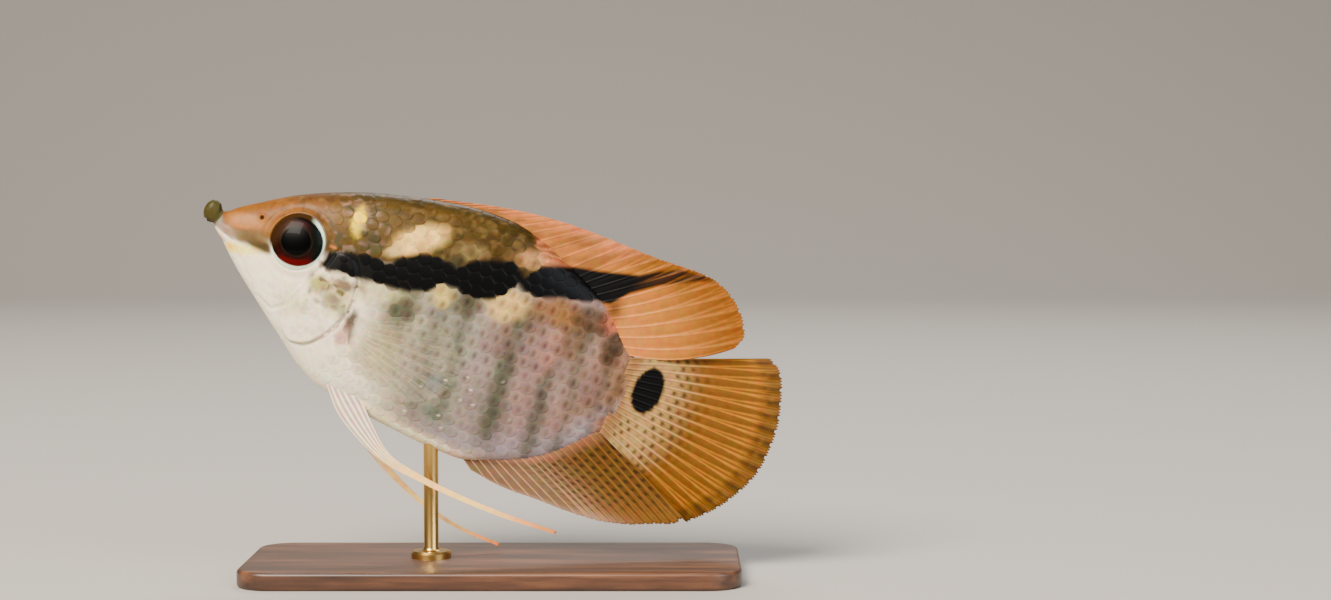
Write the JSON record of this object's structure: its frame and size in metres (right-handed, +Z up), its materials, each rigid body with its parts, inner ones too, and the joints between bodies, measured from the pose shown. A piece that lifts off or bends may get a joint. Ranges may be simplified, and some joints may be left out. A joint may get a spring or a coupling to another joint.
{
  "type": "flag cichlid fish model",
  "caption": "Still, life-size flag cichlid swimming with its head raised, with spread fins, held by a brass rod on a plain wooden base.",
  "frame": {"origin": "middle of the stand's underside, on the surface it rests on", "axes": "+Z up, +X towards the fish's tail, -X towards its head, -Y towards its left side, which faces the camera"},
  "size_m": [0.0982, 0.036, 0.0654],
  "materials": {
    "skin_head": "moist scaly skin, tan and olive above, cream below",
    "skin_pale": "moist cream-white skin",
    "skin_flank": "moist silver-grey scales with a black stripe",
    "fin_orange": "golden-orange ribbed fin membrane",
    "fin_clear": "nearly clear ribbed fin membrane",
    "fin_cream": "cream-white fin rays",
    "eye": "glossy dark red iris with a black pupil",
    "stand_wood": "satin walnut",
    "stand_brass": "satin brass"
  },
  "bodies": {
    "root": {"head": "skin_head", "lower_jaw": "skin_pale", "gill_cover_left": "skin_pale", "gill_cover_right": "skin_pale", "torso": "skin_flank", "tail_stem": "skin_flank", "dorsal_fin": "fin_orange", "anal_fin": "fin_orange", "caudal_fin": "fin_orange", "pectoral_fin_left": "fin_clear", "pectoral_fin_right": "fin_clear", "pelvic_fin_left": "fin_cream", "pelvic_fin_right": "fin_cream", "eye_left": "eye", "eye_right": "eye", "stand_base": "stand_wood", "stand_rod": "stand_brass"}
  },
  "joints": []
}
